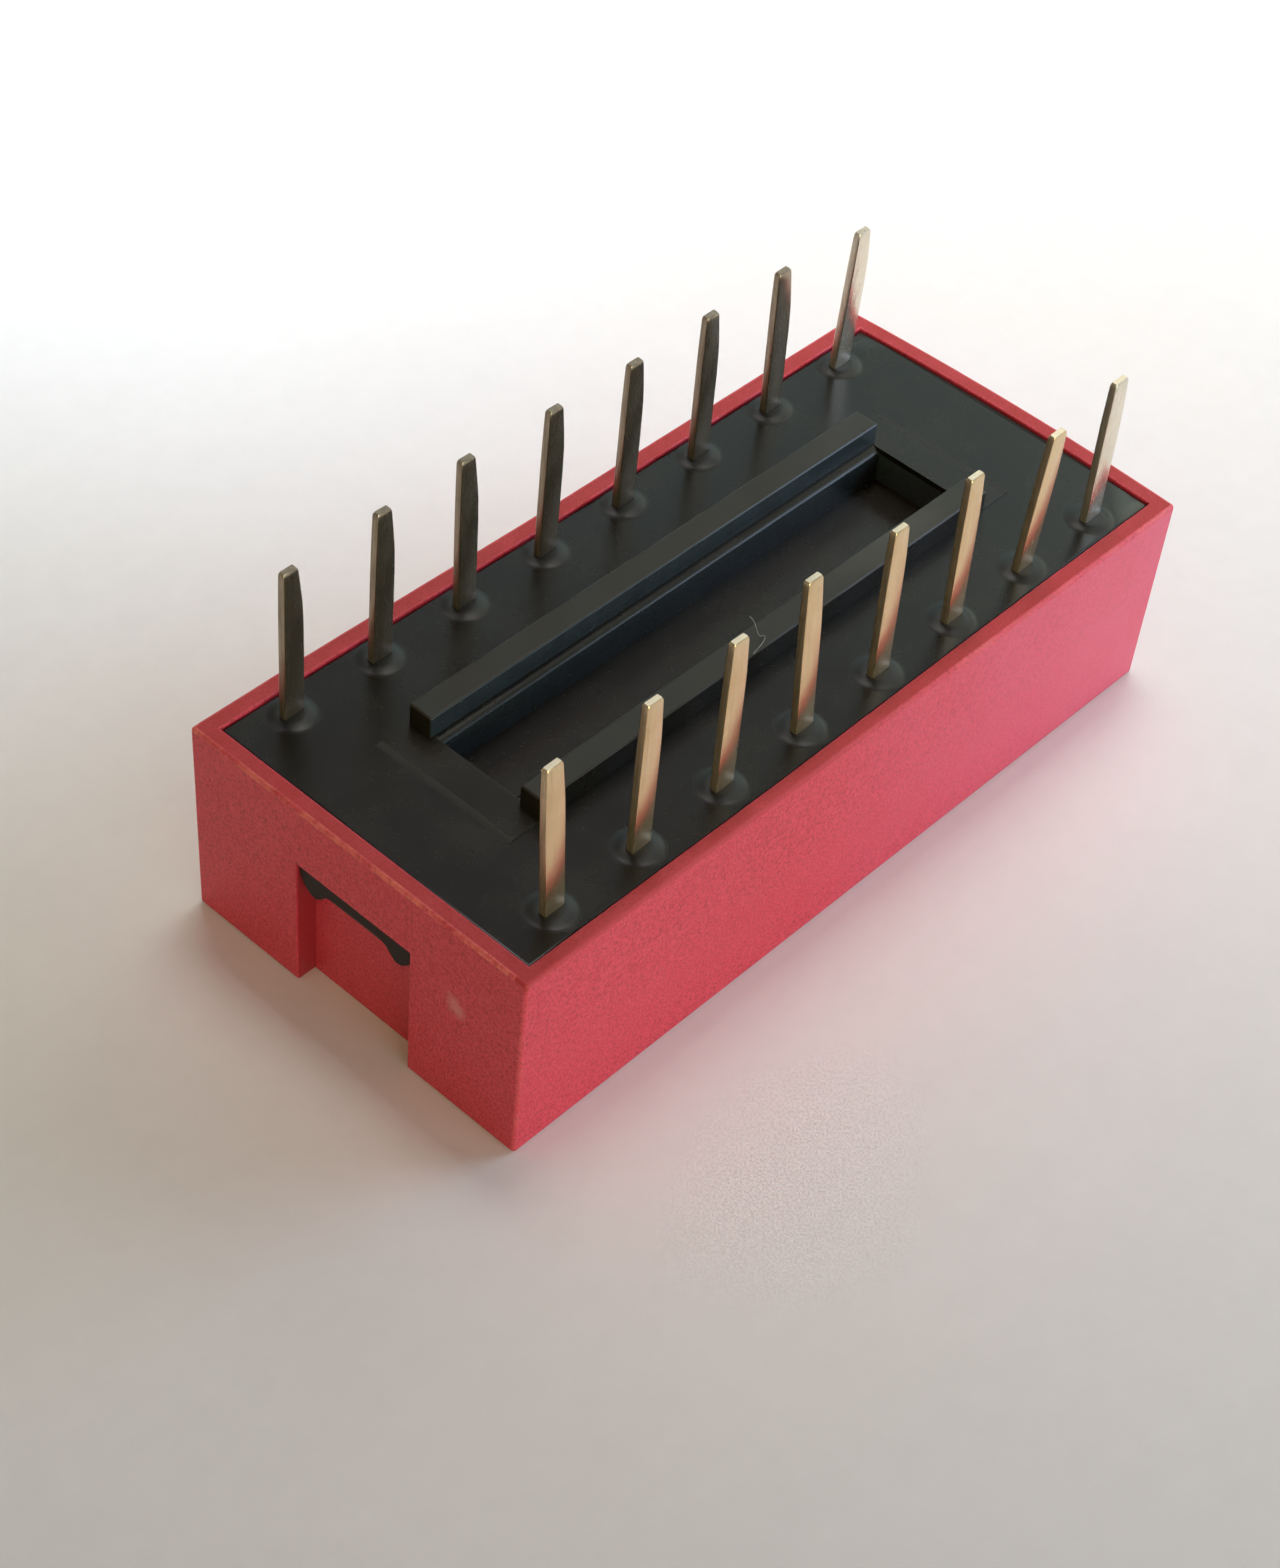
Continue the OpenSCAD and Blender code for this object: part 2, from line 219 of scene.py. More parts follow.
def black_plastic(name):
    """Glossy moulded black with a faint flow mottle, a little dust, and painted light on the recess, the latch teeth
    and the pin collars.
    """
    m, t, b = nodes_of(name)
    v = mapped(t)
    fine = noise_tex(t, v, 7.0, 4, 0.65)
    wide = noise_tex(t, v, 0.55, 3, 0.6)
    blot = noise_tex(t, v, 1.6, 3, 0.55)
    c = ramp(t, fine, [(0.3, (0.0060, 0.0054, 0.0040)), (0.75, (0.0095, 0.0086, 0.0066))])
    c = mix(t, ramp(t, wide, [(0.42, 0.0), (0.72, 0.55)]), c, (0.0150, 0.0128, 0.0070))
    c = mix(t, ramp(t, blot, [(0.48, 0.0), (0.75, 0.40)]), c, (0.0048, 0.0062, 0.0068))
    dust = noise_tex(t, v, 18.0, 3, 0.7)
    c = mix(t, ramp(t, dust, [(0.69, 0.0), (0.84, 0.28)]), c, (0.026, 0.025, 0.022))
    # the plateau round the recess is handled more and stays a little dustier
    x, y, z = coords(t)
    ax, ay = math_(t, "ABSOLUTE", x), math_(t, "ABSOLUTE", y)
    p = math_(t, "MULTIPLY", math_(t, "GREATER_THAN", ax, 7.10), math_(t, "LESS_THAN", ax, 8.19))
    p = math_(t, "MULTIPLY", p, math_(t, "LESS_THAN", ay, 1.99))
    p = math_(t, "MULTIPLY", p, math_(t, "GREATER_THAN", z, 5.305))
    p = math_(t, "MULTIPLY", p, ramp(t, blot, [(0.3, 0.35), (0.7, 0.85)]))
    c = mix(t, p, c, (0.0150, 0.0122, 0.0060))
    # the ridge tops bear on the board and are rubbed grey
    top = math_(t, "GREATER_THAN", z, 5.835)
    c = mix(t, math_(t, "MULTIPLY", top, ramp(t, blot, [(0.25, 0.55), (0.65, 1.0)])), c, (0.0200, 0.0170, 0.0095))
    # the walls along the recess are painted lighter and bluish: painted light for the reflections and glare on them
    geo = t.nodes.new("ShaderNodeNewGeometry")
    nrm = t.nodes.new("ShaderNodeSeparateXYZ")
    t.links.new(geo.outputs["Normal"], nrm.inputs[0])
    upright = math_(t, "GREATER_THAN", math_(t, "ABSOLUTE", nrm.outputs["Y"]), 0.6)
    inner = math_(t, "LESS_THAN", ay, 1.36)
    q = math_(t, "MULTIPLY", math_(t, "MULTIPLY", upright, inner), math_(t, "LESS_THAN", ax, 7.27))
    low = math_(t, "MULTIPLY", math_(t, "LESS_THAN", z, 5.18), math_(t, "GREATER_THAN", z, 4.35))
    low = math_(t, "MULTIPLY", low, math_(t, "MULTIPLY", math_(t, "LESS_THAN", ay, 1.08), math_(t, "LESS_THAN", ax, 7.18)))
    c = mix(t, math_(t, "MULTIPLY", q, ramp(t, blot, [(0.3, 0.65), (0.7, 1.0)])), c, (0.030, 0.042, 0.047))
    # the recess end walls low down get the same painted light, stronger
    c = mix(t, math_(t, "MULTIPLY", low, math_(t, "GREATER_THAN", math_(t, "ABSOLUTE", nrm.outputs["X"]), 0.6)), c, (0.052, 0.070, 0.076))
    # the latch teeth are duller and browner, the brown being a painted warm bounce from the red walls round them; the
    # sealed collars round the pins are matt
    tooth = math_(t, "GREATER_THAN", ax, BASE_HL + 0.01)
    du = math_(t, "SUBTRACT", math_(t, "FRACT", math_(t, "ADD", math_(t, "DIVIDE", math_(t, "SUBTRACT", x, px(0)), 2.54), 10.5)), 0.5)
    du = math_(t, "POWER", math_(t, "ABSOLUTE", math_(t, "MULTIPLY", du, 2.54)), 2.0)
    dv = math_(t, "POWER", math_(t, "ABSOLUTE", math_(t, "SUBTRACT", ay, PINY)), 2.0)
    collar = math_(t, "MULTIPLY", math_(t, "SUBTRACT", 0.66, math_(t, "SQRT", math_(t, "ADD", du, dv))), 3.6, clamp=True)
    collar = math_(t, "MULTIPLY", collar, math_(t, "GREATER_THAN", z, BASE_Z - 0.01))
    c = mix(t, tooth, c, (0.0110, 0.0060, 0.0035))
    # the collars are also tinted lighter and bluish: a painted sheen on their flanks
    c = mix(t, math_(t, "MULTIPLY", collar, 0.4), c, (0.0095, 0.0110, 0.0110))
    # a lighter smear over the front ridge top and the recess floor beside it: dust, and on the recess floor a painted
    # pool of light
    sx = math_(t, "POWER", math_(t, "DIVIDE", math_(t, "SUBTRACT", x, 4.4), 2.1), 2.0)
    sy = math_(t, "POWER", math_(t, "DIVIDE", math_(t, "ADD", y, 1.35), 0.95), 2.0)
    dust_and_light = math_(t, "SUBTRACT", 1.15, math_(t, "ADD", math_(t, "SQRT", math_(t, "ADD", sx, sy)),
                                          math_(t, "MULTIPLY", math_(t, "SUBTRACT", blot, 0.5), 1.2)), clamp=True)
    dust_and_light = math_(t, "MULTIPLY", dust_and_light, math_(t, "GREATER_THAN", nrm.outputs["Z"], 0.8))
    dust_and_light = math_(t, "MULTIPLY", dust_and_light, math_(t, "MAXIMUM", top, low))
    c = mix(t, dust_and_light, c, (0.052, 0.047, 0.036))
    t.links.new(mix(t, tooth, (0.5, 0.5, 0.5), (0.22, 0.22, 0.22)), b.inputs["Specular IOR Level"])
    # the recess floor is made a little lighter and browner throughout
    c = mix(t, math_(t, "MULTIPLY", math_(t, "MULTIPLY", low, math_(t, "GREATER_THAN", nrm.outputs["Z"], 0.6)), 0.5), c, (0.020, 0.016, 0.012))
    t.links.new(c, b.inputs["Base Color"])
    r = ramp(t, wide, [(0.3, 0.23), (0.7, 0.29)])
    r = mix(t, ramp(t, fine, [(0.58, 0.0), (0.85, 0.5)]), r, (0.36, 0.36, 0.36))
    r = mix(t, math_(t, "MULTIPLY", top, 0.8), r, (0.40, 0.40, 0.40))
    r = mix(t, tooth, r, (0.46, 0.46, 0.46))
    r = mix(t, math_(t, "MULTIPLY", collar, 0.9), r, (0.45, 0.45, 0.45))
    step = math_(t, "MULTIPLY", math_(t, "GREATER_THAN", ax, 8.06), math_(t, "LESS_THAN", ax, 8.28))
    step = math_(t, "MULTIPLY", step, math_(t, "MULTIPLY", math_(t, "GREATER_THAN", z, 5.3008), math_(t, "LESS_THAN", ay, 2.0)))
    r = mix(t, step, r, (0.62, 0.62, 0.62))
    t.links.new(r, b.inputs["Roughness"])
    b.inputs["IOR"].default_value = 1.50
    g1 = noise_tex(t, v, 11.0, 3, 0.7)
    g2 = noise_tex(t, v, 1.4, 3, 0.5)
    bump(t, b, [(g2, 0.010, 0.10), (g1, 0.003, 0.18)])
    return m


def plated(name, col, tint, rough=0.2):
    """Rolled strip with a thin plating: streaks along its length, light tarnish."""
    m, t, b = nodes_of(name)
    v = mapped(t)
    streak = noise_tex(t, mapped(t, (9.0, 9.0, 0.35)), 1.0, 4, 0.6)
    blot = noise_tex(t, v, 1.1, 4, 0.6)
    c = mix(t, ramp(t, blot, [(0.40, 0.0), (0.72, 0.8)]), col, tint)
    c = mix(t, ramp(t, streak, [(0.5, 0.0), (0.85, 0.35)]), c, tuple(0.6 * x for x in tint))
    t.links.new(c, b.inputs["Base Color"])
    b.inputs["Metallic"].default_value = 0.92
    r = ramp(t, streak, [(0.25, rough * 0.85), (0.8, rough * 1.35)])
    t.links.new(r, b.inputs["Roughness"])
    bump(t, b, [(streak, 0.004, 0.2), (noise_tex(t, v, 5.0, 3, 0.6), 0.004, 0.2)])
    return m


def sheared(name, col, dark):
    """Punched edge of the strip: rough, scored along the punch direction."""
    m, t, b = nodes_of(name)
    v = mapped(t)
    score = noise_tex(t, mapped(t, (14.0, 14.0, 0.9)), 1.0, 4, 0.7)
    blot = noise_tex(t, v, 2.4, 4, 0.65)
    c = mix(t, ramp(t, score, [(0.38, 0.75), (0.62, 0.0)]), col, dark)
    c = mix(t, ramp(t, blot, [(0.50, 0.0), (0.75, 0.5)]), c, dark)
    t.links.new(c, b.inputs["Base Color"])
    b.inputs["Metallic"].default_value = 0.80
    t.links.new(ramp(t, score, [(0.3, 0.44), (0.75, 0.30)]), b.inputs["Roughness"])
    bump(t, b, [(score, 0.010, 0.5), (blot, 0.006, 0.3)])
    return m


def white_plastic(name):
    m, t, b = nodes_of(name)
    v = mapped(t)
    f = noise_tex(t, v, 5.0, 4, 0.6)
    c = ramp(t, f, [(0.3, (0.74, 0.72, 0.66)), (0.7, (0.83, 0.82, 0.78))])
    t.links.new(c, b.inputs["Base Color"])
    t.links.new(ramp(t, f, [(0.3, 0.42), (0.7, 0.34)]), b.inputs["Roughness"])
    bump(t, b, [(noise_tex(t, v, 12.0, 2, 0.6), 0.005, 0.25)])
    return m


def ink(name):
    m, t, b = nodes_of(name)
    v = mapped(t)
    f = noise_tex(t, v, 16.0, 4, 0.7)
    c = ramp(t, f, [(0.3, (0.68, 0.66, 0.62)), (0.7, (0.84, 0.83, 0.80))])
    t.links.new(c, b.inputs["Base Color"])
    b.inputs["Roughness"].default_value = 0.6
    bump(t, b, [(f, 0.004, 0.4)])
    return m


def paper(name):
    m, t, b = nodes_of(name)
    v = mapped(t)
    f = noise_tex(t, v, 1.2, 5, 0.6)
    w = noise_tex(t, v, 0.06, 3, 0.5)
    c = ramp(t, f, [(0.3, FLOOR_A), (0.7, FLOOR_B)])
    c = mix(t, ramp(t, w, [(0.4, 0.0), (0.7, 0.25)]), c, tuple(0.97 * x for x in FLOOR_A))
    t.links.new(c, b.inputs["Base Color"])
    b.inputs["Roughness"].default_value = 0.85
    b.inputs["Specular IOR Level"].default_value = 0.25
    bump(t, b, [(f, 0.02, 0.2)])
    return m


def fibre(name):
    m, t, b = nodes_of(name)
    c = ramp(t, noise_tex(t, mapped(t), 8.0, 2), [(0.3, (0.20, 0.21, 0.19)), (0.7, (0.32, 0.33, 0.30))])
    t.links.new(c, b.inputs["Base Color"])
    b.inputs["Roughness"].default_value = 0.5
    return m


RED_DARK = (0.56, 0.030, 0.050)
RED_LIGHT = (0.66, 0.045, 0.073)
RED_PALE = (0.72, 0.070, 0.108)
# pale red of the rubbed edges, which also serves as a painted highlight on the rounded edge
RED_RUB_GLINT = (0.84, 0.21, 0.16)
FLOOR_A = (0.870, 0.850, 0.842)
FLOOR_B = (0.895, 0.875, 0.867)

M_RED = red_plastic("red_plastic")
M_RED_EDGE = red_plastic("red_plastic_edge", 1)
M_RED_RIM = red_plastic("red_plastic_rim", 3)
M_RED_RUB_GLINT = red_plastic("red_plastic_rubbed_glint", 2)
M_BLACK = black_plastic("black_plastic")
M_PIN = plated("pin_metal", (0.79, 0.60, 0.355), (0.68, 0.475, 0.25), 0.22)
# the back pins take a darker copy of the pin metal: painted shade for the dark base they mirror
M_PIN_SHADED = plated("pin_metal_shaded", (0.41, 0.335, 0.235), (0.32, 0.25, 0.165), 0.24)
# the front pins' tips take a paler, rougher copy of the metal: painted highlight from the light above them
M_TIP_LIT = plated("pin_metal_tip_lit", (0.92, 0.82, 0.64), (0.80, 0.68, 0.50), 0.40)
M_SHEAR = sheared("pin_metal_sheared", (0.66, 0.53, 0.37), (0.34, 0.25, 0.16))
# their punched edges take a darker copy too: painted shade
M_SHEAR_SHADED = sheared("pin_metal_sheared_shaded", (0.40, 0.33, 0.25), (0.20, 0.16, 0.12))
# the last pin pair takes paler copies of the metal and its punched edge: painted glare from the bright far end
M_PIN_GLARE = plated("pin_metal_glare", (0.85, 0.77, 0.63), (0.75, 0.65, 0.49), 0.24)
M_SHEAR_GLARE = sheared("pin_metal_sheared_glare", (0.72, 0.64, 0.53), (0.42, 0.36, 0.28))
M_CONTACT = plated("contact_metal", (0.92, 0.72, 0.34), (0.80, 0.58, 0.24), 0.22)
M_WHITE = white_plastic("white_plastic")
M_INK = ink("marking_ink")
M_PAPER = paper("paper")
M_FIBRE = fibre("lint_fibre")


# ---------------------------------------------------------------- mesh tools (millimetres until done())
def obj(bm, name):
    me = bpy.data.meshes.new(name)
    bmesh.ops.recalc_face_normals(bm, faces=bm.faces)
    bm.to_mesh(me)
    bm.free()
    o = bpy.data.objects.new(name, me)
    bpy.context.scene.collection.objects.link(o)
    return o


def box(bm, lo, hi):
    x0, y0, z0 = lo
    x1, y1, z1 = hi
    v = [bm.verts.new(p) for p in ((x0, y0, z0), (x1, y0, z0), (x1, y1, z0), (x0, y1, z0),
                                   (x0, y0, z1), (x1, y0, z1), (x1, y1, z1), (x0, y1, z1))]
    for f in ((0, 3, 2, 1), (4, 5, 6, 7), (0, 1, 5, 4), (1, 2, 6, 5), (2, 3, 7, 6), (3, 0, 4, 7)):
        bm.faces.new([v[k] for k in f])


def prism_x(bm, outline, x0, x1):
    a = [bm.verts.new((x0, y, z)) for y, z in outline]
    b = [bm.verts.new((x1, y, z)) for y, z in outline]
    n = len(a)
    bm.faces.new(a)
    bm.faces.new(list(reversed(b)))
    for k in range(n):
        bm.faces.new((a[(k + 1) % n], a[k], b[k], b[(k + 1) % n]))


def lathe(bm, cx, cy, profile, seg=40):
    """profile: (radius, z) from the rim at the bottom to the axis at the top; closed underneath."""
    rings = []
    for r, z in profile:
        if r < 1e-6:
            rings.append([bm.verts.new((cx, cy, z))])
        else:
            rings.append([bm.verts.new((cx + r * math.cos(2 * math.pi * k / seg),
                                        cy + r * math.sin(2 * math.pi * k / seg), z)) for k in range(seg)])
    bm.faces.new(list(reversed(rings[0])))
    for a, b in zip(rings, rings[1:]):
        for k in range(seg):
            j = (k + 1) % seg
            if len(b) == 1:
                bm.faces.new((a[k], a[j], b[0]))
            else:
                bm.faces.new((a[k], a[j], b[j], b[k]))


def close(o, short=0.0):
    """Fills the triangles that a boolean drops, and takes out edges too short to matter."""
    bm = bmesh.new()
    bm.from_mesh(o.data)
    if short:
        bmesh.ops.dissolve_degenerate(bm, dist=short, edges=bm.edges[:])
    es = [e for e in bm.edges if e.is_boundary]
    if es:
        bmesh.ops.holes_fill(bm, edges=es, sides=4)
        bmesh.ops.recalc_face_normals(bm, faces=bm.faces[:])
    bm.to_mesh(o.data)
    bm.free()


def boolean(a, bm, op):
    b = obj(bm, "cutter")
    m = a.modifiers.new("b", "BOOLEAN")
    m.operation, m.solver, m.object = op, "EXACT", b
    dg = bpy.context.evaluated_depsgraph_get()
    me = bpy.data.meshes.new_from_object(a.evaluated_get(dg))
    a.modifiers.clear()
    old, a.data = a.data, me
    bpy.data.meshes.remove(old)
    old = b.data
    bpy.data.objects.remove(b)
    bpy.data.meshes.remove(old)
    close(a)


def tidy(o):
    bm = bmesh.new()
    bm.from_mesh(o.data)
    bmesh.ops.remove_doubles(bm, verts=bm.verts, dist=1e-4)
    bmesh.ops.dissolve_limit(bm, angle_limit=math.radians(0.4), verts=bm.verts, edges=bm.edges)
    bm.to_mesh(o.data)
    bm.free()


def bevel(o, r, pick, seg=3, angle=25, slot=None):
    bm = bmesh.new()
    bm.from_mesh(o.data)
    bm.edges.ensure_lookup_table()
    es = [e for e in bm.edges if len(e.link_faces) == 2 and e.calc_face_angle(0) > math.radians(angle)
          and pick(*[v.co for v in e.verts])]
    got = bmesh.ops.bevel(bm, geom=es, offset=r, offset_type="OFFSET", segments=seg, profile=0.5,
                          affect="EDGES", clamp_overlap=True)
    if slot is not None:
        for f in got["faces"]:
            f.material_index = slot
    bm.to_mesh(o.data)
    bm.free()
    return len(es)


def done(o, body, mats, replaces=(), sharp=40, weighted=True):
    """Millimetres to metres, shading, material, body."""
    o.data.transform(Matrix.Scale(0.001, 4))
    picked = [p.material_index for p in o.data.polygons]
    o.data.materials.clear()
    for m in mats:
        o.data.materials.append(m)
    for p, k in zip(o.data.polygons, picked):
        p.use_smooth = True
        p.material_index = k if k < len(mats) else 0
    if sharp:
        o.data.set_sharp_from_angle(angle=math.radians(sharp))
    if weighted:
        w = o.modifiers.new("normals", "WEIGHTED_NORMAL")
        w.keep_sharp = True
        w.weight = 80
        w.thresh = 0.0
    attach(o, body)
    if replaces:
        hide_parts(*replaces)
    return o


# ---------------------------------------------------------------- cover
L2, W2, H = 10.71, 4.86, 5.36
DRAFT_E, DRAFT_S = 0.03, 0.07
SEAT_HL, SEAT_HW = 10.30, 4.47
FACE, LEDGE = 0.90, 2.60
CH_W, CH_D, WIN = 1.71, 0.53, 3.70
BOW = 0.15


def wall_x(z):
    return L2 + DRAFT_E * z / H


def wall_y(z):
    return W2 + DRAFT_S * z / H


def bulge(o, x0, z0):
    """One short wall bulges a little at its rim: everything beyond x0 and above z0 follows."""
    bm = bmesh.new()
    bm.from_mesh(o.data)
    for k in range(-5, 6):
        far = [f for f in bm.faces if max(v.co.x for v in f.verts) > x0]
        geom = far + list({e for f in far for e in f.edges}) + list({v for f in far for v in f.verts})
        bmesh.ops.bisect_plane(bm, geom=geom, dist=1e-4, plane_co=(0, 0.82 * k + 0.001, 0), plane_no=(0, 1, 0))
    for v in bm.verts:
        if v.co.x > x0 and v.co.z >= z0:
            v.co.x += BOW * max(0.0, 1 - (v.co.y / W2) ** 2) * min(1.0, max(0.0, v.co.z / H))
    bm.to_mesh(o.data)
    bm.free()


def thin(o):
    """The long walls are not quite true: one rim is thinner up to its middle, so its inner edge and the base against it
    stand out further, and the other wall leans in a little over its second half."""
    bm = bmesh.new()
    bm.from_mesh(o.data)
    for x in (-7.601, -5.081, -3.001, 0.001, 1.501, 3.001, 6.001):
        side = [f for f in bm.faces if max(abs(v.co.y) for v in f.verts) > 4.35 and max(v.co.z for v in f.verts) > 4.6]
        geom = side + list({e for f in side for e in f.edges}) + list({v for f in side for v in f.verts})
        bmesh.ops.bisect_plane(bm, geom=geom, dist=1e-4, plane_co=(x, 0, 0), plane_no=(1, 0, 0))
    for v in bm.verts:
        if -4.56 < v.co.y < -4.35 and v.co.z > 4.6:
            v.co.y -= 0.10 * min(1.0, max(0.0, (5.0 - v.co.x) / 8.0))
        if v.co.y > 4.3:
            v.co.y -= 0.11 * min(1.0, max(0.0, (v.co.x + 7.6) / 7.6)) * max(0.0, v.co.z / H)
    bm.to_mesh(o.data)
    bm.free()


def make_cover():
    bm = bmesh.new()
    v = [bm.verts.new((sx * wall_x(z), sy * wall_y(z), z)) for z in (0, H)
         for sx, sy in ((-1, -1), (1, -1), (1, 1), (-1, 1))]
    for f in ((0, 3, 2, 1), (4, 5, 6, 7), (0, 1, 5, 4), (1, 2, 6, 5), (2, 3, 7, 6), (3, 0, 4, 7)):
        bm.faces.new([v[k] for k in f])
    o = obj(bm, "cover_shell")
    bm = bmesh.new()
    box(bm, (-SEAT_HL, -SEAT_HW, LEDGE), (SEAT_HL, SEAT_HW, H + 1))
    boolean(o, bm, "DIFFERENCE")
    bm = bmesh.new()
    for i in range(N):
        box(bm, (px(i) - 0.86, -3.95, FACE), (px(i) + 0.86, 3.95, LEDGE + 0.5))
    boolean(o, bm, "DIFFERENCE")
    bm = bmesh.new()
    for i in range(N):
        box(bm, (px(i) - 0.65, -1.65, -1), (px(i) + 0.65, 1.65, FACE + 0.5))
    boolean(o, bm, "DIFFERENCE")
    bm = bmesh.new()
    for s in (-1, 1):
        a, b = sorted((s * (L2 - CH_D), s * (L2 + 1)))
        box(bm, (a, -CH_W, -1), (b, CH_W, WIN))
    boolean(o, bm, "DIFFERENCE")
    tidy(o)
    e = 2e-3
    on = lambda v, w: abs(v - w) < e
    at_x = lambda p: on(abs(p.x), wall_x(p.z))
    at_y = lambda p: on(abs(p.y), wall_y(p.z))
    # upright corners, the outer rim edge and the edge round the actuator face
    def outer(a, b):
        if (on(a.z, H) and on(b.z, H)) or (on(a.z, 0) and on(b.z, 0)):
            return (at_x(a) and at_x(b)) or (at_y(a) and at_y(b))
        return at_x(a) and at_x(b) and at_y(a) and at_y(b)
    n1 = bevel(o, 0.09, outer, 4, slot=1)
    for p in o.data.polygons:
        c = p.center
        if p.material_index == 1 and c.z > 0.15:
            p.material_index = 2
    # inner rim edge
    def inner(a, b):
        return on(a.z, H) and on(b.z, H) and abs(a.x) < L2 - 0.2 and abs(a.y) < W2 - 0.2
    n2 = bevel(o, 0.045, inner, 3, slot=1)
    # slots and channels
    def slots(a, b):
        return on(a.z, 0) and on(b.z, 0) and max(abs(a.y), abs(b.y)) < 1.66 and abs(a.x) < 9.8 and abs(b.x) < 9.8
    n3 = bevel(o, 0.06, slots, 3)
    def chan(a, b):
        up = abs(a.z - b.z) > 0.5 and on(abs(a.y), CH_W) and on(abs(b.y), CH_W) and abs(a.x) > L2 - 0.12 and abs(b.x) > L2 - 0.12
        top = on(a.z, WIN) and on(b.z, WIN) and at_x(a) and at_x(b)
        return up or top
    n4 = bevel(o, 0.045, chan, 2)
    for p in o.data.polygons:
        if p.material_index == 0 and p.center.z > H - 0.01 and p.normal.z > 0.9:
            p.material_index = 3
    thin(o)
    bulge(o, SEAT_HL - 0.005, 0.0)
    return done(o, ROOT, [M_RED, M_RED_EDGE, M_RED_RUB_GLINT, M_RED_RIM], ["cover"]), (n1, n2, n3, n4)


# ---------------------------------------------------------------- base
PLAT_HL, PLAT_Z = 8.17, 5.33
RIDGE_HL, RIDGE_IN, RIDGE_OUT, RIDGE_Z = 7.28, 1.30, 1.97, 5.88
REC_HL, REC_HW, REC_Z = 7.16, 1.06, 4.40
TOOTH_X = 10.64
EXIT = 5.42
TOOTH = [(-1.69, 3.68), (-1.69, 3.32), (-1.54, 3.08), (-1.38, 2.94), (-1.20, 2.90), (-1.04, 3.02), (-0.90, 3.18),
         (-0.60, 3.26), (0.60, 3.26), (0.90, 3.18), (1.04, 3.02), (1.20, 2.90), (1.38, 2.94), (1.54, 3.08),
         (1.69, 3.32), (1.69, 3.68)]


